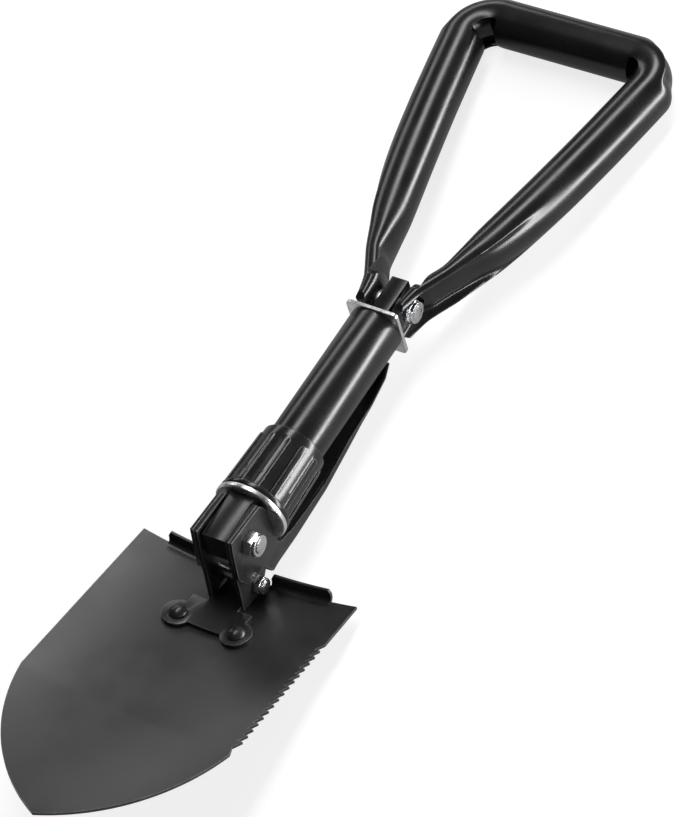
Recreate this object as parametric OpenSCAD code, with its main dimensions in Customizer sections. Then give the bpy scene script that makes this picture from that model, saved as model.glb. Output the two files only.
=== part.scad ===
// Three-piece folding camp shovel with a pick.
// Every sub-part is drawn in the shaft's own frame: X runs along the shaft towards the handle, Z points
// out of the blade's hollow face, and the origin lies on the shaft's axis beside the blade hinge.
// lay() then sets the open shovel down on its back, with the ground at Z = 0 under the middle of it.

/* [Blade] */
// Width of the blade
blade_w = 139; // [120:1:150]
// Length of the blade from its treads to its point
blade_l = 202; // [190:1:215]
// Length of the straight part of each side
blade_side = 116; // [100:1:125]
// Radius of the curved edge from each side to the point
nose_r = 119; // [112:1:150]
// Sheet thickness
blade_t = 1.8; // [1.5:0.1:2.2]
// Depth of the dish across the full width
dish = 8.5; // [5:0.5:10]
// Angle by which the blade leans towards its hollow face
blade_lift = 11.7; // [8:0.1:13]
// Distance from the hinge axis back to the blade's rim
blade_drop = 36.4; // [35:0.1:38]
// Distance by which the blade's top edge lies above the hinge axis
blade_top = 5.4; // [4:0.1:6]
// Height of the foot treads
tread_h = 8; // [6:0.5:9]
// Number of saw teeth
teeth = 17; // [10:1:17]
// Distance from tooth to tooth
tooth_pitch = 4.95; // [4:0.05:5]
// Depth of the saw teeth
tooth_d = 3.6; // [2:0.1:5]

/* [Blade hinge] */
// Height of the hinge axis in front of the shaft's axis
hinge_z = 5; // [4:0.5:6]
// Thickness of the blade bracket
bracket_t = 2.6; // [2:0.1:2.6]
// Thickness of the pick's steel
pick_t = 1.8; // [1.5:0.1:1.8]
// Diameter of the hinge bolts
bolt_d = 8; // [7:0.5:8]
// Length of the pick from the hinge axis to its tip
pick_l = 147; // [130:1:150]

/* [Shaft] */
// Outside diameter of the shaft tube
tube_d = 32; // [30:0.5:32]
// Wall of the shaft tube
tube_wall = 1.6; // [1.2:0.1:2]
// Distance between the two hinge axes
hinge_span = 174.3; // [170:0.1:185]
// Side of the square lock plate
plate_w = 33; // [32:0.5:33]
// Thickness of the lock plate
plate_t = 2; // [1.5:0.1:2]
// Width of the link bar
bar_w = 11; // [9:0.5:11]
// Depth of the link bar
bar_h = 16.4; // [12:0.2:16.4]

/* [Lock collar] */
// Outside diameter of the collar's flange and ring
flange_d = 43.4; // [42:0.1:45]
// Distance from the hinge axis to the ring's face
collar_x = 20; // [20:0.5:22]
// Length of the collar with its ring
collar_l = 47.8; // [44:0.2:50]
// Number of grip ribs
ribs = 12; // [8:1:14]

/* [Handle] */
// Distance from the handle hinge to the middle of the grip
grip_reach = 210.7; // [205:0.1:220]
// Diameter of the handle tube
handle_d = 28.4; // [26:0.1:29]
// Wall of the handle tube
handle_wall = 1.4; // [1.2:0.1:1.6]
// Outside width of the handle
handle_w = 153; // [150:1:156]

/* [Hidden] */
$fn = 64;

gap = 0.3;                            // between curved faces that move on each other
slack = 0.15;                         // between flat faces that move on each other
paint = 0.05;                         // between sheets riveted together

// Layers across the blade hinge, counted out from the shaft's middle plane
tongue_y = 7.4;
washer_t = 1.3;
bracket_y = tongue_y + washer_t + slack;
pick_y = bracket_y + bracket_t + slack;
stack_y = pick_y + pick_t;
bolt_r = bolt_d / 2;
hole_r = bolt_r + gap;

// Blade outline: half width w at a distance s from the top edge
half_w = blade_w / 2;
chord = sqrt(pow(blade_l - blade_side, 2) + half_w * half_w);
chord_a = atan2(half_w, blade_l - blade_side);
nose_s = (blade_side + blade_l) / 2 - sqrt(nose_r * nose_r - chord * chord / 4) * sin(chord_a);
nose_y = half_w / 2 - sqrt(nose_r * nose_r - chord * chord / 4) * cos(chord_a);
function rim(s) = s < blade_side ? half_w
    : nose_y + sqrt(nose_r * nose_r - pow(min(s, nose_s + nose_r) - nose_s, 2));
// Hollow face of the blade, measured from the flat plane that holds its rim
function hollow(s, y) = -dish * (rim(s) * abs(rim(s)) - y * y) / (half_w * half_w);

saw_start = blade_side - teeth * tooth_pitch;
tread_in = 14;
tread_out = 53;
bend_r = 3;
rivet_s = 42.3;
rivet_y = 18.9;
stop_x = -3.5;
stop_z = -29.6;
stop_r = 3;                           // M6

// Shaft
tube_r = tube_d / 2;
bore_r = tube_r - tube_wall;
leg_end = 15.4;                       // from the handle hinge to the leg ends
plate_x = hinge_span - leg_end;       // upper face of the lock plate
tube_x1 = plate_x - plate_t;
tube_x0 = collar_x + 11;
neck_x = collar_x + 6.3;              // the tongue's block ends and its round neck begins
neck_end = 52;
socket_x = 32;
bar_end = hinge_span + 13;
ring_t = 3.2;
swing_r = collar_x - 0.2;             // largest reach of the plates that turn past the collar's ring

// Handle centre line
grip_x = hinge_span + grip_reach;
handle_r = handle_d / 2;
corner_r = 18.6;
leg_y = handle_w / 2 - handle_r;

leg_in = 8.4;                         // inner faces of the leg ends
leg_out = 11.6;                       // floor of the pressed grooves at the handle bolt

// Stations along one leg: distance past the hinge, centre, half thickness, half depth, outer groove
leg = [[-leg_end, 12, 4.1, 14, 3.7], [-9, 12.4, 4.5, 14, 4.5], [-2.3, 13.2, 5.3, 14, 6],
    [6.2, 14.9, 6.3, 14, 7], [12, 17.5, 6.5, 14, 5.6], [18, 20.6, 6.6, 14, 5.8], [26, 24.6, 6.8, 14, 5.8],
    [40, 29, 9.4, 14, 5], [55, 33.7, 12.4, 14.1, 3.4], [75, 39.1, 13.7, 14.2, 1.6],
    [100, 45, 14.2, 14.2, 0.5], [137, 52.6, 14.2, 14.2, 0], [170, 58.8, 14.2, 14.2, 0]];
leg_a = 10.5;                         // outward lean of the legs at the corners
corner = [grip_x - corner_r, leg_y - corner_r];
dent = 8;                             // pressed pocket on the inner side of each corner
bulge = 4;                            // pressed groove on the outer side of each corner
half_path = concat(
    [for (i = [0:len(leg) - 1]) let (p = leg[i], q = leg[min(i + 1, len(leg) - 1)], o = leg[max(i - 1, 0)],
        lean = atan2(q[1] - o[1], q[0] - o[0]))
        [hinge_span + p[0], p[1], -sin(lean), cos(lean), p[2], p[3], p[4], 0]],
    [for (i = [0:12]) let (f = -leg_a + (90 + leg_a) * i / 12, k = sin(180 * (i + 1) / 14))
        [corner[0] + corner_r * sin(f), corner[1] + corner_r * cos(f), sin(f), cos(f), handle_r, handle_r,
        bulge * k * k, dent * k]],
    [for (y = [corner[1] - 8, corner[1] - 18, 12]) [grip_x, y, 1, 0, handle_r, handle_r, 0, 0]]);
stations = concat(half_path, [for (i = [len(half_path) - 1:-1:0]) let (s = half_path[i])
    [s[0], -s[1], s[2], -s[3], s[4], s[5], s[6], s[7]]]);

function ease(x) = let (c = min(1, max(0, x))) c * c * (3 - 2 * c);
// One ring of points round the handle tube, inset by the wall thickness
function handle_ring(s, inset, n) = [for (k = [0:n - 1])
    let (t = 360 * k / n, c = cos(t), e = 0.55 + 0.45 * min(1, s[4] / handle_r),
        u = sign(c) * (s[4] - inset) * pow(abs(c), e) - s[6] * ease((c - 0.55) / 0.3)
            + s[7] * ease((-c - 0.5) / 0.25))
    [s[0] + s[2] * u, s[1] + s[3] * u, (s[5] - inset) * sin(t)]];

// How the open shovel lies: on the middle of the blade's top edge and on the grip
edge_x = blade_top - (dish + blade_t) * sin(blade_lift);
edge_z = hinge_z - blade_drop - (dish + blade_t) * cos(blade_lift);
lay_tilt = atan2(-edge_z, grip_x - edge_x)
    - asin(handle_r / sqrt(pow(grip_x - edge_x, 2) + edge_z * edge_z));
lay_z = grip_x * sin(lay_tilt) + handle_r;
tip_x = blade_top - blade_l * cos(blade_lift) - blade_t * sin(blade_lift);
tip_z = hinge_z - blade_drop + blade_l * sin(blade_lift) - blade_t * cos(blade_lift);
lay_x = -(grip_x * cos(lay_tilt) + handle_r + tip_x * cos(lay_tilt) + tip_z * sin(lay_tilt)) / 2;

module lay() {
    translate([lay_x, 0, lay_z]) rotate([0, lay_tilt, 0]) children();
}

// Blade frame: X runs from the top edge towards the point, Z points out of the hollow face
module on_blade() {
    translate([blade_top, 0, hinge_z - blade_drop]) rotate([0, blade_lift, 0]) mirror([1, 0, 0]) children();
}

// Extrudes an outline drawn in the shaft's X and Z from y0 to y1
module side_plate(y0, y1) {
    translate([0, y1, 0]) rotate([90, 0, 0]) linear_extrude(height = y1 - y0) children();
}

module both_sides() {
    children();
    mirror([0, 1, 0]) children();
}

// Round bar along Y
module cross_bar(x, z, r, y0, y1, sides = 48) {
    translate([x, y1, z]) rotate([90, 0, 0]) cylinder(r = r, h = y1 - y0, $fn = sides);
}

// Closed solid between two grids of points with the same rows and columns
module skin(upper, lower) {
    n = len(upper);
    m = len(upper[0]);
    k = n * m;
    points = concat([for (row = upper) each row], [for (row = lower) each row]);
    faces = concat(
        [for (i = [0:n - 2], j = [0:m - 2]) each
            [[i*m + j, i*m + j + 1, (i+1)*m + j + 1], [i*m + j, (i+1)*m + j + 1, (i+1)*m + j]]],
        [for (i = [0:n - 2], j = [0:m - 2]) each
            [[k + i*m + j, k + (i+1)*m + j + 1, k + i*m + j + 1],
             [k + i*m + j, k + (i+1)*m + j, k + (i+1)*m + j + 1]]],
        [for (i = [0:n - 2]) each
            [[i*m, (i+1)*m, k + i*m], [(i+1)*m, k + (i+1)*m, k + i*m],
             [i*m + m - 1, k + i*m + m - 1, (i+1)*m + m - 1],
             [(i+1)*m + m - 1, k + i*m + m - 1, k + (i+1)*m + m - 1]]],
        [for (j = [0:m - 2]) each
            [[j, k + j, j + 1], [j + 1, k + j, k + j + 1],
             [(n-1)*m + j, (n-1)*m + j + 1, k + (n-1)*m + j],
             [(n-1)*m + j + 1, k + (n-1)*m + j + 1, k + (n-1)*m + j]]]);
    polyhedron(points, faces);
}

// Closed tube through rings of points, each ring turning right-handed about the way along
module tube_shell(rings) {
    n = len(rings);
    m = len(rings[0]);
    polyhedron([for (r = rings) each r], concat([[for (k = [0:m - 1]) k]],
        [for (i = [0:n - 2], k = [0:m - 1]) let (h = (k + 1) % m) each
            [[i*m + k, (i+1)*m + h, i*m + h], [i*m + k, (i+1)*m + k, (i+1)*m + h]]],
        [[for (k = [m - 1:-1:0]) (n-1)*m + k]]));
}

// Dished sheet over a rectangle of the blade, from height z0 to z1 above the hollow face
module dished(s0, s1, y1, rows, cols, z0, z1) {
    grid = function (z) [for (i = [0:rows]) let (s = s0 + (s1 - s0) * i / rows)
        [for (j = [0:cols]) let (y = y1 * (2 * j / cols - 1)) [s, y, hollow(s, y) + z]]];
    skin(grid(z1), grid(z0));
}

// Flat outline of the blade with its saw on the side of negative Y
module blade_outline() {
    arc = [for (i = [1:24]) let (s = blade_side + (blade_l - blade_side) * sin(90 * i / 24)) [s, rim(s)]];
    saw = [for (i = [teeth - 1:-1:1], k = [0:1]) [saw_start + i * tooth_pitch, -half_w + tooth_d * k]];
    polygon(concat([[0, -half_w], [0, -tread_out - 3], [1.5, -tread_out - 3], [1.5, tread_out + 3],
        [0, tread_out + 3], [0, half_w], [blade_side, half_w]], arc,
        [for (i = [len(arc) - 2:-1:0]) [arc[i][0], -arc[i][1]]],
        [[blade_side, -half_w + tooth_d]], saw, [[saw_start, -half_w]]));
}

// Foot tread: the sheet turned up round a bend and along the dish
module tread() {
    path = function (r) concat(
        [[1.2 * bend_r, -r]],
        [for (a = [0:30:90]) [bend_r - (bend_r + r) * sin(a), bend_r - (bend_r + r) * cos(a)]],
        [[-r, tread_h]]);
    steps = 8;
    grid = function (r) [for (i = [0:steps]) let (y = tread_in + (tread_out - tread_in) * i / steps)
        [for (p = path(r)) [p[0], y, p[1] + hollow(0, y)]]];
    skin(grid(0), grid(blade_t));
}

module blade() {
    color([0.13, 0.13, 0.14])
    lay() on_blade() difference() {
        union() {
            intersection() {
                dished(-1, blade_l + 1, half_w + 1, 30, 22, -blade_t, 0);
                translate([0, 0, -2 * dish]) linear_extrude(height = 3 * dish) blade_outline();
            }
            both_sides() tread();
        }
        both_sides() translate([rivet_s, rivet_y, -2 * dish]) cylinder(r = 2.6, h = 3 * dish);
    }
}

// Outline of the bracket's cheeks, shared by the pick's cheeks along their lower and front edges
module reach_limit() {
    translate([0, hinge_z]) circle(r = swing_r, $fn = 96);
    translate([-60, -80]) square([60 + swing_r, 80 + hinge_z]);
}

module bracket_cheek() {
    intersection() {
        polygon([[-12, 18.6], [-14.6, 5], [-16.8, -18], [-19.4, -35.2], [2.4, -40], [3.2, -32],
            [10, -24], [swing_r, -9], [swing_r, 16.4]]);
        reach_limit();
    }
}

module bracket_base() {
    for (side = [-1, 1]) translate([rivet_s, side * rivet_y]) circle(r = 9);
    translate([-1, -bracket_y - 1]) square([46, 2 * (bracket_y + 1)]);
    translate([27, -rivet_y]) square([19, 2 * rivet_y]);
}

module blade_bracket() {
    color([0.10, 0.10, 0.11])
    lay() difference() {
        union() {
            on_blade() intersection() {
                dished(-1.2, 53, 29, 10, 10, paint, paint + bracket_t);
                translate([0, 0, -2 * dish]) linear_extrude(height = 3 * dish) bracket_base();
            }
            both_sides() side_plate(bracket_y, bracket_y + bracket_t) intersection() {
                bracket_cheek();
                translate([blade_top, hinge_z - blade_drop]) rotate(-blade_lift)
                    translate([-60, -dish + 1]) square([100, 100]);
            }
        }
        cross_bar(0, hinge_z, hole_r, -stack_y, stack_y);
        cross_bar(stop_x, stop_z, stop_r + slack, -stack_y, stack_y);
        on_blade() both_sides() translate([rivet_s, rivet_y, -2 * dish]) cylinder(r = 2.6, h = 3 * dish);
    }
}

module bracket_rivets() {
    base = hollow(rivet_s, rivet_y);
    color([0.10, 0.10, 0.11])
    lay() on_blade() both_sides() translate([rivet_s, rivet_y, base]) {
        translate([0, 0, -blade_t - 1.4]) cylinder(r = 2.5, h = blade_t + 1.4 + bracket_t + 1);
        translate([0, 0, bracket_t + 0.6]) intersection() {
            translate([0, 0, -3.2]) sphere(r = 6.2);
            cylinder(r = 7, h = 4);
        }
        translate([0, 0, -blade_t - 1.5]) cylinder(r = 4.4, h = 1.2);
    }
}

module stop_bolt() {
    outer = bracket_y + bracket_t;
    color([0.80, 0.81, 0.83])
    lay() {
        cross_bar(stop_x, stop_z, stop_r, -outer - 6.2, outer + 0.1);
        cross_bar(stop_x, stop_z, 4.2, outer + 0.05, outer + 2.6);
    }
}

module stop_nut() {
    outer = bracket_y + bracket_t;
    color([0.80, 0.81, 0.83])
    lay() difference() {
        union() {
            cross_bar(stop_x, stop_z, 5.6, -outer - 4.2, -outer - 0.05, 6);
            cross_bar(stop_x, stop_z, 4.6, -outer - 5.6, -outer - 4.1);
        }
        cross_bar(stop_x, stop_z, stop_r, -outer - 8, -outer + 1);
    }
}

// Hexagon bolt along Y with its head on the side of positive Y
module hinge_screw(x, z, y_nut, y_head) {
    cross_bar(x, z, bolt_r, y_nut, y_head + 0.1);
    cross_bar(x, z, 7.5, y_head, y_head + 3.6, 6);
    cross_bar(x, z, 6, y_head + 3.5, y_head + 4.1);
}

// Lock nut along Y: hexagon of height h, then a round crown that holds the nylon ring
module lock_nut(x, z, y0, h) {
    difference() {
        union() {
            cross_bar(x, z, 7.5, y0 - h, y0, 6);
            cross_bar(x, z, 6.3, y0 - h - 2, y0 - h + 0.1);
        }
        cross_bar(x, z, bolt_r, y0 - h - 3, y0 + 1);
        cross_bar(x, z, 5.4, y0 - h - 1.4, y0 - h + 0.6);
    }
}

module nut_insert(x, z, y0, h) {
    difference() {
        cross_bar(x, z, 5.4, y0 - h - 1.4, y0 - h + 0.6);
        cross_bar(x, z, bolt_r, y0 - h - 3, y0);
    }
}

module hinge_bolt() {
    color([0.80, 0.81, 0.83])
    lay() hinge_screw(0, hinge_z, -stack_y - slack - 7.4, stack_y + slack);
}

module hinge_nut() {
    color([0.80, 0.81, 0.83])
    lay() lock_nut(0, hinge_z, -stack_y - slack, 5);
}

module hinge_nut_insert() {
    color([0.92, 0.92, 0.88])
    lay() nut_insert(0, hinge_z, -stack_y - slack, 5);
}

module hinge_washers() {
    color([0.75, 0.76, 0.78])
    lay() both_sides() difference() {
        cross_bar(0, hinge_z, 8.5, tongue_y, tongue_y + washer_t);
        cross_bar(0, hinge_z, bolt_r, tongue_y - 1, tongue_y + washer_t + 1);
    }
}

module tongue() {
    front = 16;
    color([0.11, 0.11, 0.12])
    lay() difference() {
        union() {
            side_plate(-tongue_y, tongue_y)
                polygon([[-10.6, front], [-12.6, 1], [-6, -5], [neck_x + 0.5, -12], [neck_x + 0.5, front]]);
            translate([neck_x, 0, 0]) rotate([0, 90, 0]) cylinder(r = bore_r - gap, h = neck_end - neck_x);
        }
        cross_bar(0, hinge_z, bolt_r, -stack_y, stack_y);
        translate([socket_x, -bar_w / 2, -bar_h / 2]) cube([neck_end, bar_w, bar_h]);
        for (x = [36, 44]) cross_bar(x, 0, 2, -tube_r, tube_r);
    }
}

module link_bar() {
    wall = 2.6;
    color([0.11, 0.11, 0.12])
    lay() difference() {
        translate([socket_x, -bar_w / 2, -bar_h / 2]) cube([bar_end - socket_x, bar_w, bar_h]);
        translate([socket_x - 1, -bar_w / 2 + wall, -bar_h / 2 - 1])
            cube([bar_end - socket_x + 2, bar_w - 2 * wall, bar_h + 1 - wall]);
        cross_bar(hinge_span, 0, hole_r, -tube_r, tube_r);
        for (x = [36, 44]) cross_bar(x, 0, 2, -tube_r, tube_r);
    }
}

module core_pins() {
    color([0.70, 0.71, 0.73])
    lay() for (x = [36, 44]) cross_bar(x, 0, 2, -bore_r + 1, bore_r - 1);
}

module shaft_tube() {
    color([0.11, 0.11, 0.12])
    lay() translate([tube_x0, 0, 0]) rotate([0, 90, 0]) difference() {
        cylinder(r = tube_r, h = tube_x1 - tube_x0, $fn = 96);
        translate([0, 0, -1]) cylinder(r = bore_r, h = tube_x1 - tube_x0 + 2, $fn = 96);
    }
}

module lock_plate() {
    inner = plate_w / 2 - 3;
    color([0.80, 0.81, 0.83])
    lay() translate([tube_x1, 0, 0]) rotate([0, 90, 0]) difference() {
        linear_extrude(height = plate_t) {
            square([plate_w, 2 * inner], center = true);
            square([2 * inner, plate_w], center = true);
            for (x = [-inner, inner], y = [-inner, inner]) translate([x, y]) circle(r = 3);
        }
        translate([-bar_h / 2 - gap, -bar_w / 2 - gap, -1])
            cube([bar_h + 2 * gap, bar_w + 2 * gap, plate_t + 2]);
    }
}

module collar_ring() {
    color([0.82, 0.83, 0.85])
    lay() translate([collar_x, 0, 0]) rotate([0, 90, 0]) difference() {
        rotate_extrude($fn = 96)
            polygon([[0, 0], [flange_d / 2 - 0.6, 0], [flange_d / 2, 0.6], [flange_d / 2, ring_t - 0.4],
                [flange_d / 2 - 0.4, ring_t], [0, ring_t]]);
        translate([-16.6, -tongue_y - 0.4, -1]) cube([33.2, 2 * tongue_y + 0.8, ring_t + 2]);
    }
}

module lock_collar() {
    x0 = ring_t;
    rib_top = collar_l - 6.4;
    rib_w = 3.6;
    low_r = flange_d / 2 - 1.6;
    top_r = low_r - 1.3;
    color([0.10, 0.10, 0.11])
    lay() translate([collar_x, 0, 0]) rotate([0, 90, 0]) {
        rotate_extrude($fn = 96)
            polygon([[18.4, x0], [flange_d / 2 - 0.8, x0], [flange_d / 2 - 0.3, x0 + 0.6],
                [flange_d / 2 - 0.3, x0 + 2.6], [low_r, x0 + 3.8], [top_r, collar_l - 1],
                [top_r - 1, collar_l], [tube_r + gap, collar_l], [tube_r + gap, 11], [18.4, 11]]);
        for (i = [0:ribs - 1]) rotate(360 / ribs * (i + 0.5)) intersection() {
            rotate([90, 0, 90]) linear_extrude(height = flange_d) {
                translate([-rib_w / 2, x0 + 3]) square([rib_w, rib_top - x0 - 3 - rib_w / 2]);
                translate([0, rib_top - rib_w / 2]) circle(r = rib_w / 2, $fn = 12);
            }
            rotate_extrude($fn = 96)
                polygon([[top_r - 0.8, x0 + 2], [flange_d / 2 - 0.4, x0 + 2], [top_r + 1.2, rib_top + 0.1],
                    [top_r - 0.8, rib_top + 0.1]]);
        }
    }
}

// Side view of the pick's cheeks, up to the start of its arm
module pick_cheek() {
    intersection() {
        polygon([[-12, 19], [-14.6, 5], [-16.2, -9], [-12, -17.5], [-6, -21], [0, -21.9], [4.5, -22.6],
            [7, -27.5], [9.4, -33], [30, -30], [30, -23.6], [23, -22.4], [21.2, -21.4], [swing_r, -19],
            [swing_r, 16.4]]);
        union() {
            reach_limit();
            translate([swing_r - 1, -60]) square([20, 60 - 14]);
        }
    }
}

// Outer face of the pick's web, free edge of its sides and half width, at a distance along the shaft
function pick_web(x) = lookup(x, [[9.4, -34.4], [36, -35], [68, -33.9], [97, -29.2], [126, -23.9],
    [139, -21], [pick_l, -18.4]]);
function pick_edge(x) = lookup(x, [[9.4, -22.5], [36, -24.8], [65, -27.6], [80, -25.3], [97, -22.6],
    [123, -21.8], [139, -18], [pick_l, -15.2]]);
function pick_half(x) = lookup(x, [[30, stack_y], [139, 12.3], [pick_l, 10.7]]);

// Channel section of the pick's arm, inset by the sheet's thickness
function pick_row(x, inset) = let (w = pick_half(x) - inset, z0 = pick_web(x) + inset, z1 = pick_edge(x),
        r = min(3.2, 0.8 * (pick_edge(x) - pick_web(x))) - min(inset, 0.55 * (pick_edge(x) - pick_web(x))),
        half = concat([[w, z1]], [for (a = [0:18:90]) [w - r + r * cos(a), z0 + r - r * sin(a)]]))
    concat([for (p = half) [x, p[0], p[1]]], [for (i = [len(half) - 1:-1:0]) [x, -half[i][0], half[i][1]]]);

module pick() {
    xs = [9.4, 20, 30, 36, 52, 68, 80, 97, 110, 123, 131, 139, 144, pick_l];
    color([0.11, 0.11, 0.12])
    lay() difference() {
        union() {
            both_sides() side_plate(pick_y, stack_y) pick_cheek();
            skin([for (x = xs) pick_row(x, 0)], [for (x = xs) pick_row(x, pick_t)]);
        }
        cross_bar(0, hinge_z, hole_r, -2 * stack_y, 2 * stack_y);
    }
}

module handle() {
    color([0.11, 0.11, 0.12])
    lay() difference() {
        tube_shell([for (st = stations) handle_ring(st, 0, 28)]);
        tube_shell([for (st = stations) if (st[0] > hinge_span + 22) handle_ring(st, handle_wall, 20)]);
        // swing past the lock plate, in both of its positions
        difference() {
            cross_bar(hinge_span, 0, 29, -16.8, 16.8, 96);
            cross_bar(hinge_span, 0, leg_end - 0.2, -18, 18, 96);
        }
        translate([hinge_span - 20, -leg_in, -20]) cube([48, 2 * leg_in, 40]);
        cross_bar(hinge_span, 0, bolt_r, -40, 40);
        both_sides() cross_bar(hinge_span, 0, 9, leg_out, 40);
    }
}

module handle_bolt() {
    color([0.80, 0.81, 0.83])
    lay() hinge_screw(hinge_span, 0, -leg_out - 5.6, leg_out);
}

module handle_nut() {
    color([0.80, 0.81, 0.83])
    lay() lock_nut(hinge_span, 0, -leg_out, 3.4);
}

module handle_nut_insert() {
    color([0.92, 0.92, 0.88])
    lay() nut_insert(hinge_span, 0, -leg_out, 3.4);
}

module handle_spacers() {
    color([0.75, 0.76, 0.78])
    lay() both_sides() difference() {
        cross_bar(hinge_span, 0, 7, bar_w / 2, leg_in - slack);
        cross_bar(hinge_span, 0, hole_r, 0, 10);
    }
}

blade();
blade_bracket();
bracket_rivets();
stop_bolt();
stop_nut();
hinge_bolt();
hinge_nut();
hinge_nut_insert();
hinge_washers();
tongue();
link_bar();
core_pins();
shaft_tube();
lock_plate();
collar_ring();
lock_collar();
pick();
handle();
handle_bolt();
handle_nut();
handle_nut_insert();
handle_spacers();
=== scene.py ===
"""Folding camp shovel: finishes, finer blade and handle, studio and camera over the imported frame."""

import math

import bmesh
import bpy
from mathutils import Matrix, Vector


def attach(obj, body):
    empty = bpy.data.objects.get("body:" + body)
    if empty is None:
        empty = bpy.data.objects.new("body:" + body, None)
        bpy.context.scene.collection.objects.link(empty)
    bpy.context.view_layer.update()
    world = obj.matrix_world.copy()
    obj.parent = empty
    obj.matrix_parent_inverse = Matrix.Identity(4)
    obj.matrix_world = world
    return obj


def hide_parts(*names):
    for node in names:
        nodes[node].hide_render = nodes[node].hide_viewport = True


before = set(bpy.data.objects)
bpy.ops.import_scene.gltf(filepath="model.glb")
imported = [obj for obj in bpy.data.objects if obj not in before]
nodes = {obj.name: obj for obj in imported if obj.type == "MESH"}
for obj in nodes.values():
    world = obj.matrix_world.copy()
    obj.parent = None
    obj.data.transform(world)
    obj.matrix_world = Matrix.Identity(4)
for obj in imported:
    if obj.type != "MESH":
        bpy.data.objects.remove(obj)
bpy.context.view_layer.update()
MM = 0.001

# The shovel's own sizes in its shaft frame, in millimetres, as in the CAD
BLADE_W, BLADE_L, BLADE_SIDE, NOSE_R = 139.0, 202.0, 116.0, 119.0
SHEET, DISH, LIFT = 1.8, 8.5, math.radians(11.7)
HINGE_Z, BLADE_DROP, BLADE_TOP = 5.0, 36.4, 5.4
TREAD_H, TREAD_IN, TREAD_OUT, BEND_R = 8.0, 14.0, 53.0, 3.0
TEETH, PITCH, TOOTH = 17, 4.95, 3.6
SPAN, REACH, HANDLE_R, HANDLE_W = 174.3, 210.7, 14.2, 153.0
CORNER_R, LEG_LEAN = 18.6, 10.5
LEG_END, LEG_IN, LEG_OUT = 15.4, 8.4, 11.6
GRIP_X = SPAN + REACH
HALF_W = BLADE_W / 2

# How it lies on the ground
edge_x = BLADE_TOP - (DISH + SHEET) * math.sin(LIFT)
edge_z = HINGE_Z - BLADE_DROP - (DISH + SHEET) * math.cos(LIFT)
TILT = math.atan2(-edge_z, GRIP_X - edge_x) - math.asin(HANDLE_R / math.hypot(GRIP_X - edge_x, edge_z))
LAY_Z = GRIP_X * math.sin(TILT) + HANDLE_R
tip_x = BLADE_TOP - BLADE_L * math.cos(LIFT) - SHEET * math.sin(LIFT)
tip_z = HINGE_Z - BLADE_DROP + BLADE_L * math.sin(LIFT) - SHEET * math.cos(LIFT)
LAY_X = -(GRIP_X * math.cos(TILT) + HANDLE_R + tip_x * math.cos(TILT) + tip_z * math.sin(TILT)) / 2


def lay(x, y, z):
    """A point of the shaft frame, in mm, to the row frame, in metres."""
    c, s = math.cos(TILT), math.sin(TILT)
    return Vector((LAY_X + x * c + z * s, y, LAY_Z - x * s + z * c)) * MM


def on_blade(s, y, z):
    c, k = math.cos(LIFT), math.sin(LIFT)
    return lay(BLADE_TOP - s * c + z * k, y, HINGE_Z - BLADE_DROP + s * k + z * c)


def make(name, points, faces, body, material, smooth=35):
    mesh = bpy.data.meshes.new(name)
    mesh.from_pydata([tuple(p) for p in points], [], faces)
    mesh.validate()
    work = bmesh.new()
    work.from_mesh(mesh)
    bmesh.ops.remove_doubles(work, verts=work.verts, dist=1e-6)
    bmesh.ops.recalc_face_normals(work, faces=work.faces)
    work.to_mesh(mesh)
    work.free()
    obj = bpy.data.objects.new(name, mesh)
    bpy.context.collection.objects.link(obj)
    finish_mesh(obj, material, smooth)
    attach(obj, body)
    return obj


def finish_mesh(obj, material, smooth=35):
    obj.data.materials.clear()
    obj.data.materials.append(material)
    for face in obj.data.polygons:
        face.use_smooth = True
    bpy.context.view_layer.objects.active = obj
    obj.select_set(True)
    bpy.ops.object.shade_smooth_by_angle(angle=math.radians(smooth), keep_sharp_edges=False)
    obj.select_set(False)


def bevel(obj, width, segments=2, angle=40):
    mod = obj.modifiers.new("edges", "BEVEL")
    mod.width = width * MM
    mod.segments = segments
    mod.limit_method = "ANGLE"
    mod.angle_limit = math.radians(angle)
    mod.use_clamp_overlap = True
    mod.harden_normals = False
    return mod


def grid_faces(rows, cols, start=0, wrap=False, flip=False):
    out = []
    for i in range(rows - 1):
        for j in range(cols if wrap else cols - 1):
            k = (j + 1) % cols
            a, b = start + i * cols, start + (i + 1) * cols
            f = (a + j, a + k, b + k, b + j)
            out.append(f[::-1] if flip else f)
    return out


# ---------- finishes ----------

def node(tree, kind, **values):
    n = tree.nodes.new(kind)
    for key, value in values.items():
        setattr(n, key, value)
    return n


def noise(tree, coord, scale, detail=3.0, rough=0.55, stretch=(1, 1, 1)):
    mapping = node(tree, "ShaderNodeMapping")
    mapping.inputs["Scale"].default_value = stretch
    tree.links.new(coord, mapping.inputs["Vector"])
    n = node(tree, "ShaderNodeTexNoise")
    n.inputs["Scale"].default_value = scale
    n.inputs["Detail"].default_value = detail
    n.inputs["Roughness"].default_value = rough
    tree.links.new(mapping.outputs["Vector"], n.inputs["Vector"])
    return n.outputs["Fac"]


def remap(tree, value, low, high, to_low, to_high):
    n = node(tree, "ShaderNodeMapRange")
    n.clamp = True
    for name, v in (("From Min", low), ("From Max", high), ("To Min", to_low), ("To Max", to_high)):
        n.inputs[name].default_value = v
    tree.links.new(value, n.inputs["Value"])
    return n.outputs["Result"]


def times(tree, a, b):
    n = node(tree, "ShaderNodeMath", operation="MULTIPLY")
    tree.links.new(a, n.inputs[0])
    if isinstance(b, float):
        n.inputs[1].default_value = b
    else:
        tree.links.new(b, n.inputs[1])
    return n.outputs[0]


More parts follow.
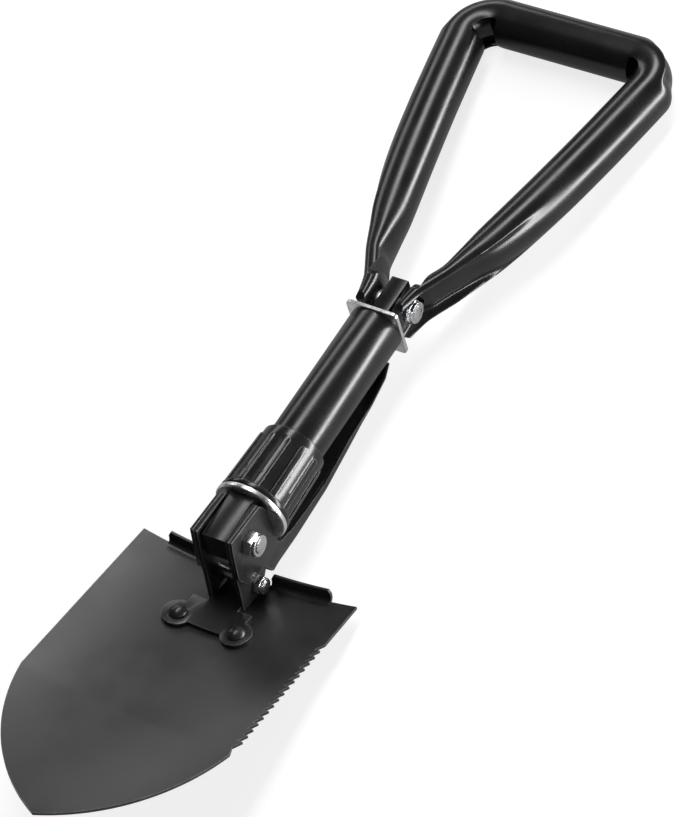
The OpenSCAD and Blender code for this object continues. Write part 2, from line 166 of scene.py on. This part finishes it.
def mix_colour(tree, fac, a, b):
    n = node(tree, "ShaderNodeMix", data_type="RGBA")
    tree.links.new(fac, n.inputs["Factor"])
    for socket, v in ((n.inputs[6], a), (n.inputs[7], b)):
        if isinstance(v, tuple):
            socket.default_value = (*v, 1)
        else:
            tree.links.new(v, socket)
    return n.outputs[2]


def edge_mask(tree, radius):
    """1 on sharp convex edges and 0 on flats."""
    bev = node(tree, "ShaderNodeBevel", samples=4)
    bev.inputs["Radius"].default_value = radius * MM
    geo = node(tree, "ShaderNodeNewGeometry")
    dot = node(tree, "ShaderNodeVectorMath", operation="DOT_PRODUCT")
    tree.links.new(bev.outputs["Normal"], dot.inputs[0])
    tree.links.new(geo.outputs["Normal"], dot.inputs[1])
    return remap(tree, dot.outputs["Value"], 0.97, 0.80, 0.0, 1.0)


def paint(name, base, rough, peel=0.05, wear_and_edge_highlight=0.35, fine=900):
    """Sprayed black enamel: slow thickness changes, orange peel, and sharp edges lighter, partly rubbed wear
    and partly a painted edge highlight.
    """
    m = bpy.data.materials.new(name)
    m.use_nodes = True
    t = m.node_tree
    p = t.nodes["Principled BSDF"]
    coord = node(t, "ShaderNodeTexCoord").outputs["Object"]
    cloud = noise(t, coord, 38, 4)
    grain = noise(t, coord, fine, 2)
    rubbed_and_highlit = remap(t, noise(t, coord, 160, 5, 0.7), 0.42, 0.66, 0.35, 1.0)
    thin, thick = tuple(0.8 * c for c in base), tuple(1.25 * c for c in base)
    tone = mix_colour(t, remap(t, cloud, 0.3, 0.7, 0, 1), thin, thick)
    # Sharp edges painted lighter: partly rubbed wear, partly a painted highlight along the edges.
    edges = times(t, edge_mask(t, 0.75), rubbed_and_highlit)
    worn_and_highlit = mix_colour(t, times(t, edges, float(wear_and_edge_highlight)), tone, (0.42, 0.42, 0.43))
    t.links.new(worn_and_highlit, p.inputs["Base Color"])
    rough_value = remap(t, cloud, 0.25, 0.75, rough - 0.04, rough + 0.05)
    add = node(t, "ShaderNodeMath", operation="ADD")
    t.links.new(rough_value, add.inputs[0])
    t.links.new(remap(t, grain, 0.4, 0.8, -0.01, 0.02), add.inputs[1])
    t.links.new(add.outputs[0], p.inputs["Roughness"])
    bump = node(t, "ShaderNodeBump")
    bump.inputs["Strength"].default_value = peel
    bump.inputs["Distance"].default_value = 0.0004
    t.links.new(grain, bump.inputs["Height"])
    t.links.new(bump.outputs["Normal"], p.inputs["Normal"])
    return m


def metal(name, base, rough, streak=(1, 1, 1), scale=420):
    """Zinc or bright steel with fine tool marks, darker patches and brighter edges, partly rubbed wear and
    partly a painted edge highlight.
    """
    m = bpy.data.materials.new(name)
    m.use_nodes = True
    t = m.node_tree
    p = t.nodes["Principled BSDF"]
    p.inputs["Metallic"].default_value = 1.0
    coord = node(t, "ShaderNodeTexCoord").outputs["Object"]
    marks = noise(t, coord, scale, 3, 0.6, streak)
    patch = noise(t, coord, 120, 4)
    dull = mix_colour(t, remap(t, patch, 0.35, 0.7, 0, 1), base, tuple(0.72 * c for c in base))
    # Sharp edges painted brighter: partly rubbed wear, partly a painted highlight along the edges.
    edges = edge_mask(t, 0.4)
    t.links.new(mix_colour(t, times(t, edges, 0.6), dull, (0.95, 0.95, 0.96)), p.inputs["Base Color"])
    t.links.new(remap(t, marks, 0.3, 0.75, rough - 0.06, rough + 0.1), p.inputs["Roughness"])
    bump = node(t, "ShaderNodeBump")
    bump.inputs["Strength"].default_value = 0.12
    bump.inputs["Distance"].default_value = 0.0003
    t.links.new(marks, bump.inputs["Height"])
    t.links.new(bump.outputs["Normal"], p.inputs["Normal"])
    return m


enamel = paint("black_enamel", (0.008, 0.008, 0.009), 0.25, peel=0.012, wear_and_edge_highlight=0.35, fine=2600)
# A lighter copy of the black enamel, as painted light lifting the blade's less lit side and middle.
blade_enamel_painted_light = paint("blade_enamel_painted_light", (0.020, 0.020, 0.021), 0.36, peel=0.05, wear_and_edge_highlight=0.8, fine=2600)
# A lighter copy of the black enamel, as painted light brightening the bracket's cheeks, the tongue and the
# pick.
bracket_enamel_painted_light = paint("bracket_enamel_painted_light", (0.017, 0.017, 0.018), 0.30, peel=0.03, wear_and_edge_highlight=0.8, fine=2600)
moulded = paint("moulded_black", (0.010, 0.010, 0.011), 0.22, peel=0.04, wear_and_edge_highlight=1.0, fine=3000)
zinc = metal("zinc_plate", (0.80, 0.81, 0.82), 0.22, (1, 1, 6))
zinc_soft = metal("zinc_plate_satin", (0.86, 0.87, 0.88), 0.30)
steel = metal("bright_steel", (0.62, 0.63, 0.65), 0.28, (1, 6, 1))
ground_edge = metal("ground_edge", (0.70, 0.71, 0.72), 0.25, (1, 1, 8), 700)

nylon = bpy.data.materials.new("natural_nylon")
nylon.use_nodes = True
shader = nylon.node_tree.nodes["Principled BSDF"]
shader.inputs["Subsurface Weight"].default_value = 0.3
shader.inputs["Subsurface Radius"].default_value = (0.002, 0.002, 0.002)
nylon_coord = node(nylon.node_tree, "ShaderNodeTexCoord").outputs["Object"]
nylon_fac = remap(nylon.node_tree, noise(nylon.node_tree, nylon_coord, 700, 3), 0.3, 0.7, 0, 1)
nylon.node_tree.links.new(mix_colour(nylon.node_tree, nylon_fac, (0.84, 0.84, 0.80), (0.74, 0.74, 0.69)),
                          shader.inputs["Base Color"])
nylon.node_tree.links.new(remap(nylon.node_tree, nylon_fac, 0, 1, 0.38, 0.5), shader.inputs["Roughness"])

finish_of = {
    "blade_bracket": (bracket_enamel_painted_light, 0.5), "bracket_rivets": (bracket_enamel_painted_light, 0.0),
    "stop_bolt": (zinc, 0.35), "stop_nut": (zinc, 0.5), "hinge_bolt": (zinc, 0.5), "hinge_nut": (zinc, 0.7),
    "hinge_nut_insert": (nylon, 0.2), "hinge_washers": (steel, 0.2), "tongue": (bracket_enamel_painted_light, 0.9),
    "link_bar": (enamel, 0.5), "core_pins": (steel, 0.2), "shaft_tube": (enamel, 0.3),
    "lock_plate": (zinc_soft, 0.25), "collar_ring": (zinc_soft, 0.2), "lock_collar": (moulded, 0.3),
    "pick": (bracket_enamel_painted_light, 0.35), "handle_bolt": (zinc, 0.5), "handle_nut": (zinc, 0.6),
    "handle_nut_insert": (nylon, 0.2), "handle_spacers": (steel, 0.3),
}
for name, (material, width) in finish_of.items():
    obj = nodes[name]
    weld = obj.modifiers.new("weld", "WELD")
    weld.merge_threshold = 0.00001
    finish_mesh(obj, material, 38)
    if width:
        bevel(obj, width)


# ---------- blade ----------

def rim(s):
    """Half width of the blade at a distance from its top edge."""
    if s < BLADE_SIDE:
        return HALF_W
    chord = math.hypot(BLADE_L - BLADE_SIDE, HALF_W)
    angle = math.atan2(HALF_W, BLADE_L - BLADE_SIDE)
    back = math.sqrt(NOSE_R ** 2 - chord ** 2 / 4)
    cs, cy = (BLADE_SIDE + BLADE_L) / 2 - back * math.sin(angle), HALF_W / 2 - back * math.cos(angle)
    return max(0.0, cy + math.sqrt(max(0.0, NOSE_R ** 2 - (s - cs) ** 2)))


def hollow(s, y):
    return -DISH * (rim(s) ** 2 - y * y) / HALF_W ** 2


SAW_START = BLADE_SIDE - TEETH * PITCH
rows = []
step = 0.0
while step < SAW_START:
    rows.append((step, HALF_W))
    step += 2.0
SAW_RUN_OUT = (BLADE_L - BLADE_SIDE) * math.sin(math.pi / 2 / 24)
for tooth in range(TEETH):
    s0 = SAW_START + tooth * PITCH
    if tooth:
        rows.append((s0 - 0.02, HALF_W - TOOTH))
    for part in range(4):
        rows.append((s0 + 0.02 + part / 4 * PITCH, HALF_W - TOOTH * part / 4))
ARC_ROWS = 72
for i in range(ARC_ROWS + 1):
    s = BLADE_SIDE + (BLADE_L - BLADE_SIDE) * math.sin(math.pi / 2 * i / ARC_ROWS)
    rows.append((s, rim(s) - TOOTH * max(0.0, 1 - (s - BLADE_SIDE) / SAW_RUN_OUT)))

COLS = 90
top, under = [], []
for s, saw_half in rows:
    for j in range(COLS + 1):
        f = j / COLS
        y = -saw_half + (saw_half + rim(s)) * f
        z = hollow(s, y)
        top.append(on_blade(s, y, z))
        under.append(on_blade(s, y, z - SHEET))
n_rows, n_cols = len(rows), COLS + 1
count = n_rows * n_cols
faces = grid_faces(n_rows, n_cols) + grid_faces(n_rows, n_cols, count, flip=True)
for i in range(n_rows - 1):
    for j in (0, n_cols - 1):
        a, b = i * n_cols + j, (i + 1) * n_cols + j
        faces.append((a, b, count + b, count + a))
for j in range(n_cols - 1):
    for i in (0, n_rows - 1):
        a, b = i * n_cols + j, i * n_cols + j + 1
        faces.append((a, count + a, count + b, b))
blade = make("blade_sheet", top + under, faces, "blade", blade_enamel_painted_light, 50)

# the ground saw edge shows steel in a narrow band
blade.data.materials.append(ground_edge)
for face in blade.data.polygons:
    ids = [v % count for v in face.vertices]
    same = any(v < count for v in face.vertices) and any(v >= count for v in face.vertices)
    if same and all(v % n_cols == 0 for v in ids):
        i0 = min(v // n_cols for v in ids)
        if SAW_START - 1 < rows[i0][0] < BLADE_SIDE:
            face.material_index = 1
bevel(blade, 0.3, 2, 60)
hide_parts("blade")

tread_path = [(5.5, 0.0)] + [
    (BEND_R - BEND_R * math.sin(math.radians(a)), BEND_R - BEND_R * math.cos(math.radians(a)))
    for a in range(0, 91, 10)] + [(0.0, TREAD_H)]
outer_path = [(5.5, -SHEET)] + [
    (BEND_R - (BEND_R + SHEET) * math.sin(math.radians(a)),
     BEND_R - (BEND_R + SHEET) * math.cos(math.radians(a)))
    for a in range(0, 91, 10)] + [(-SHEET, TREAD_H)]
for side, label in ((1, "plain"), (-1, "saw")):
    pts = []
    steps = 24
    for path in (tread_path, outer_path):
        for i in range(steps + 1):
            y = TREAD_IN + (TREAD_OUT - TREAD_IN) * i / steps
            clip = min(1.0, (TREAD_OUT - y) / 2.2 + 0.62, (y - TREAD_IN) / 2.2 + 0.62)
            for s, z in path:
                zz = z if z < TREAD_H - 0.01 else z * clip
                pts.append(on_blade(s, side * y, zz + hollow(0, y)))
    m = len(tread_path)
    n = steps + 1
    fs = grid_faces(n, m) + grid_faces(n, m, n * m, flip=True)
    for i in range(n - 1):
        for j in (0, m - 1):
            a, b = i * m + j, (i + 1) * m + j
            fs.append((a, b, n * m + b, n * m + a))
    for j in range(m - 1):
        for i in (0, n - 1):
            a, b = i * m + j, i * m + j + 1
            fs.append((a, n * m + a, n * m + b, b))
    tread = make("foot_tread_" + label, pts, fs, "blade", blade_enamel_painted_light, 40)
    bevel(tread, 0.35, 2, 60)
    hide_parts("blade")

# ---------- handle ----------

# Each leg's stations: distance from the hinge, offset, half thickness, half height and groove depth
LEG = [(-LEG_END, 12, 4.1, 14, 3.7), (-9, 12.4, 4.5, 14, 4.5), (-2.3, 13.2, 5.3, 14, 6),
       (6.2, 14.9, 6.3, 14, 7), (12, 17.5, 6.5, 14, 5.6), (18, 20.6, 6.6, 14, 5.8),
       (26, 24.6, 6.8, 14, 5.8), (40, 29, 9.4, 14, 5), (55, 33.7, 12.4, 14.1, 3.4),
       (75, 39.1, 13.7, 14.2, 1.6),
       (100, 45, 14.2, 14.2, 0.5), (137, 52.6, 14.2, 14.2, 0), (170, 58.8, 14.2, 14.2, 0)]
LEG_Y = HANDLE_W / 2 - HANDLE_R
CORNER = (GRIP_X - CORNER_R, LEG_Y - CORNER_R)
DENT, BULGE = 8.0, 4.0


def spline(table, x, k):
    """Smooth value of column k at x along the leg's stations."""
    n = len(table)
    i = max(0, min(n - 2, next((a for a in range(n - 1) if x <= table[a + 1][0]), n - 2)))
    p0, p1, p2, p3 = (table[max(0, min(n - 1, i + d))] for d in (-1, 0, 1, 2))
    h = p2[0] - p1[0]
    t = (x - p1[0]) / h
    m1 = (p2[k] - p0[k]) / max(1e-6, p2[0] - p0[0]) * h
    m2 = (p3[k] - p1[k]) / max(1e-6, p3[0] - p1[0]) * h
    return ((2 * t ** 3 - 3 * t ** 2 + 1) * p1[k] + (t ** 3 - 2 * t ** 2 + t) * m1
            + (-2 * t ** 3 + 3 * t ** 2) * p2[k] + (t ** 3 - t ** 2) * m2)


def ease(x):
    c = min(1.0, max(0.0, x))
    return c * c * (3 - 2 * c)


half = []
x = LEG[0][0]
while x < 169.5:
    q = [spline(LEG, x, k) for k in (1, 2, 3, 4)]
    before, after = max(x - 1, LEG[0][0]), min(x + 1, 170)
    d = (spline(LEG, after, 1) - spline(LEG, before, 1)) / (after - before)
    lean = math.atan(d)
    half.append((SPAN + x, q[0], -math.sin(lean), math.cos(lean), q[1], q[2], q[3], 0.0))
    x += 1.5 if x < 60 else 3.0
turn = 40
for i in range(turn + 1):
    f = math.radians(-LEG_LEAN + (90 + LEG_LEAN) * i / turn)
    k = ease(math.sin(math.pi * (i + 1) / (turn + 2)) * 1.25)
    half.append((CORNER[0] + CORNER_R * math.sin(f), CORNER[1] + CORNER_R * math.cos(f),
                 math.sin(f), math.cos(f), HANDLE_R, HANDLE_R, BULGE * k * k, DENT * k))
y = CORNER[1] - 3
while y > 0.5:
    half.append((GRIP_X, y, 1.0, 0.0, HANDLE_R, HANDLE_R, 0.0, 0.0))
    y -= 3.0
stations = half + [(s[0], -s[1], s[2], -s[3], s[4], s[5], s[6], s[7]) for s in reversed(half)]

RING = 96
pts = []
for cx, cy, nx, ny, a, b, groove, dent in stations:
    for k in range(RING):
        t = 2 * math.pi * k / RING
        c = math.cos(t)
        e = 0.55 + 0.45 * min(1.0, a / HANDLE_R)
        u = math.copysign(a * abs(c) ** e, c)
        u = u - groove * ease((c - 0.55) / 0.3) + dent * ease((-c - 0.5) / 0.22)
        px, py, pz = cx + nx * u, cy + ny * u, b * math.sin(t)
        pts.append(lay(px, py, pz))
n = len(stations)
caps = [tuple(range(RING)), tuple((n - 1) * RING + k for k in reversed(range(RING)))]
fs = grid_faces(n, RING, wrap=True) + caps
handle = make("handle_tube", pts, fs, "handle", enamel, 50)


def cutter(name, x, r, y0, y1, sides=96, inner=0.0):
    """A round bar along Y, or a ring where inner is given, in the shaft frame."""
    out = []
    radii = (r, inner) if inner else (r,)
    for rad in radii:
        for y in (y0, y1):
            for k in range(sides):
                t = 2 * math.pi * k / sides
                out.append(lay(x + rad * math.cos(t), y, rad * math.sin(t)))
    f = []
    for k in range(sides):
        j = (k + 1) % sides
        f.append((k, j, sides + j, sides + k))
        if inner:
            f.append((2 * sides + k, 3 * sides + k, 3 * sides + j, 2 * sides + j))
            f.append((k, 2 * sides + k, 2 * sides + j, j))
            f.append((sides + k, sides + j, 3 * sides + j, 3 * sides + k))
    if not inner:
        f += [tuple(range(sides)), tuple(reversed(range(sides, 2 * sides)))]
    mesh = bpy.data.meshes.new(name)
    mesh.from_pydata([tuple(p) for p in out], [], f)
    work = bmesh.new()
    work.from_mesh(mesh)
    bmesh.ops.recalc_face_normals(work, faces=work.faces)
    work.to_mesh(mesh)
    work.free()
    obj = bpy.data.objects.new(name, mesh)
    bpy.context.collection.objects.link(obj)
    return obj


def box_cutter(name, x0, x1, y0, y1, z0, z1):
    out = [lay(x, y, z) for x in (x0, x1) for y in (y0, y1) for z in (z0, z1)]
    f = [(0, 1, 3, 2), (4, 6, 7, 5), (0, 4, 5, 1), (2, 3, 7, 6), (0, 2, 6, 4), (1, 5, 7, 3)]
    mesh = bpy.data.meshes.new(name)
    mesh.from_pydata([tuple(p) for p in out], [], f)
    obj = bpy.data.objects.new(name, mesh)
    bpy.context.collection.objects.link(obj)
    return obj


cutters = [
    cutter("swing", SPAN, 29, -16.8, 16.8, 96, LEG_END - 0.2),
    box_cutter("inner_faces", SPAN - 20, SPAN + 28, -LEG_IN, LEG_IN, -20, 20),
    cutter("seat_a", SPAN, 9, LEG_OUT, 40), cutter("seat_b", SPAN, 9, -40, -LEG_OUT),
    cutter("bore", SPAN, 4.0, -60, 60, 48),
]
for tool in cutters:
    mod = handle.modifiers.new(tool.name, "BOOLEAN")
    mod.operation = "DIFFERENCE"
    mod.solver = "EXACT"
    mod.object = tool
depsgraph = bpy.context.evaluated_depsgraph_get()
cut_mesh = bpy.data.meshes.new_from_object(handle.evaluated_get(depsgraph))
handle.modifiers.clear()
handle.data = cut_mesh
for tool in cutters:
    bpy.data.objects.remove(tool, do_unlink=True)
finish_mesh(handle, enamel, 42)
bevel(handle, 0.35, 2, 45)
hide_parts("handle")

# ---------- floor, light and camera ----------

floor_mesh = bpy.data.meshes.new("floor")
F = 6.0
floor_mesh.from_pydata([(-F, -F, 0), (F, -F, 0), (F, F, 0), (-F, F, 0)], [], [(0, 1, 2, 3)])
floor = bpy.data.objects.new("floor", floor_mesh)
bpy.context.collection.objects.link(floor)
floor_mat = bpy.data.materials.new("floor_white")
floor_mat.use_nodes = True
floor_shader = floor_mat.node_tree.nodes["Principled BSDF"]
floor_shader.inputs["Base Color"].default_value = (0.35, 0.35, 0.35, 1)
floor_shader.inputs["Roughness"].default_value = 0.9
floor_shader.inputs["Specular IOR Level"].default_value = 0.0
floor_shader.inputs["Emission Color"].default_value = (1, 1, 1, 1)
# bright to the eye, dimmer in the enamel's reflections
floor_tree = floor_mat.node_tree
floor_ray = node(floor_tree, "ShaderNodeLightPath").outputs["Is Camera Ray"]
floor_tree.links.new(remap(floor_tree, floor_ray, 0, 1, 0.22, 0.80), floor_shader.inputs["Emission Strength"])
floor.data.materials.append(floor_mat)

world = bpy.data.worlds.new("studio")
bpy.context.scene.world = world
world.use_nodes = True
wt = world.node_tree
background = wt.nodes["Background"]
path = node(wt, "ShaderNodeLightPath")
level = node(wt, "ShaderNodeMapRange")
level.inputs["To Min"].default_value = 0.05
level.inputs["To Max"].default_value = 1.0
wt.links.new(path.outputs["Is Camera Ray"], level.inputs["Value"])
wt.links.new(level.outputs["Result"], background.inputs["Strength"])
background.inputs["Color"].default_value = (1, 1, 1, 1)


def area(name, towards, distance, size, size_y, power):
    """A soft box in the direction given, facing the shaft's middle."""
    target = Vector((-0.02, 0, 0.04))
    d = Vector(towards).normalized()
    data = bpy.data.lights.new(name, "AREA")
    data.shape = "RECTANGLE"
    data.size, data.size_y = size, size_y
    data.energy = power
    obj = bpy.data.objects.new(name, data)
    obj.location = target + d * distance
    # the long side lies along the shaft's X
    right = Vector((1, 0, 0)) - d * d.x
    right.normalize()
    up = d.cross(right)
    turned = Matrix((right, up, d)).transposed().to_4x4()
    obj.matrix_world = Matrix.Translation(obj.location) @ turned
    bpy.context.collection.objects.link(obj)
    return obj


area("side_box", (0.41, -0.905, 0.0), 1.6, 2.6, 0.50, 95)
area("top_box", (0.48, 0.12, 0.863), 1.9, 2.2, 0.40, 24)
area("rear_box", (0.60, 0.72, 0.35), 1.8, 1.8, 0.35, 6)

camera_data = bpy.data.cameras.new("camera")
camera_data.sensor_width = 36
camera_data.sensor_fit = "VERTICAL"
camera_data.sensor_height = 36
camera_data.lens = 168.4
camera_data.shift_x = -0.0047
camera_data.shift_y = -0.0005
camera_data.clip_end = 50
camera = bpy.data.objects.new("camera", camera_data)
right = Vector((0.48505695, -0.84039226, -0.24178628))
up = Vector((0.77743025, 0.28781579, 0.55925332))
back = Vector((-0.40040225, -0.45924168, 0.79295341))
camera.matrix_world = (Matrix.Translation((-0.83750832, -0.96917755, 1.68754379))
                       @ Matrix((right, up, back)).transposed().to_4x4())
bpy.context.collection.objects.link(camera)
bpy.context.scene.camera = camera
bpy.context.scene.view_settings.view_transform = "Standard"
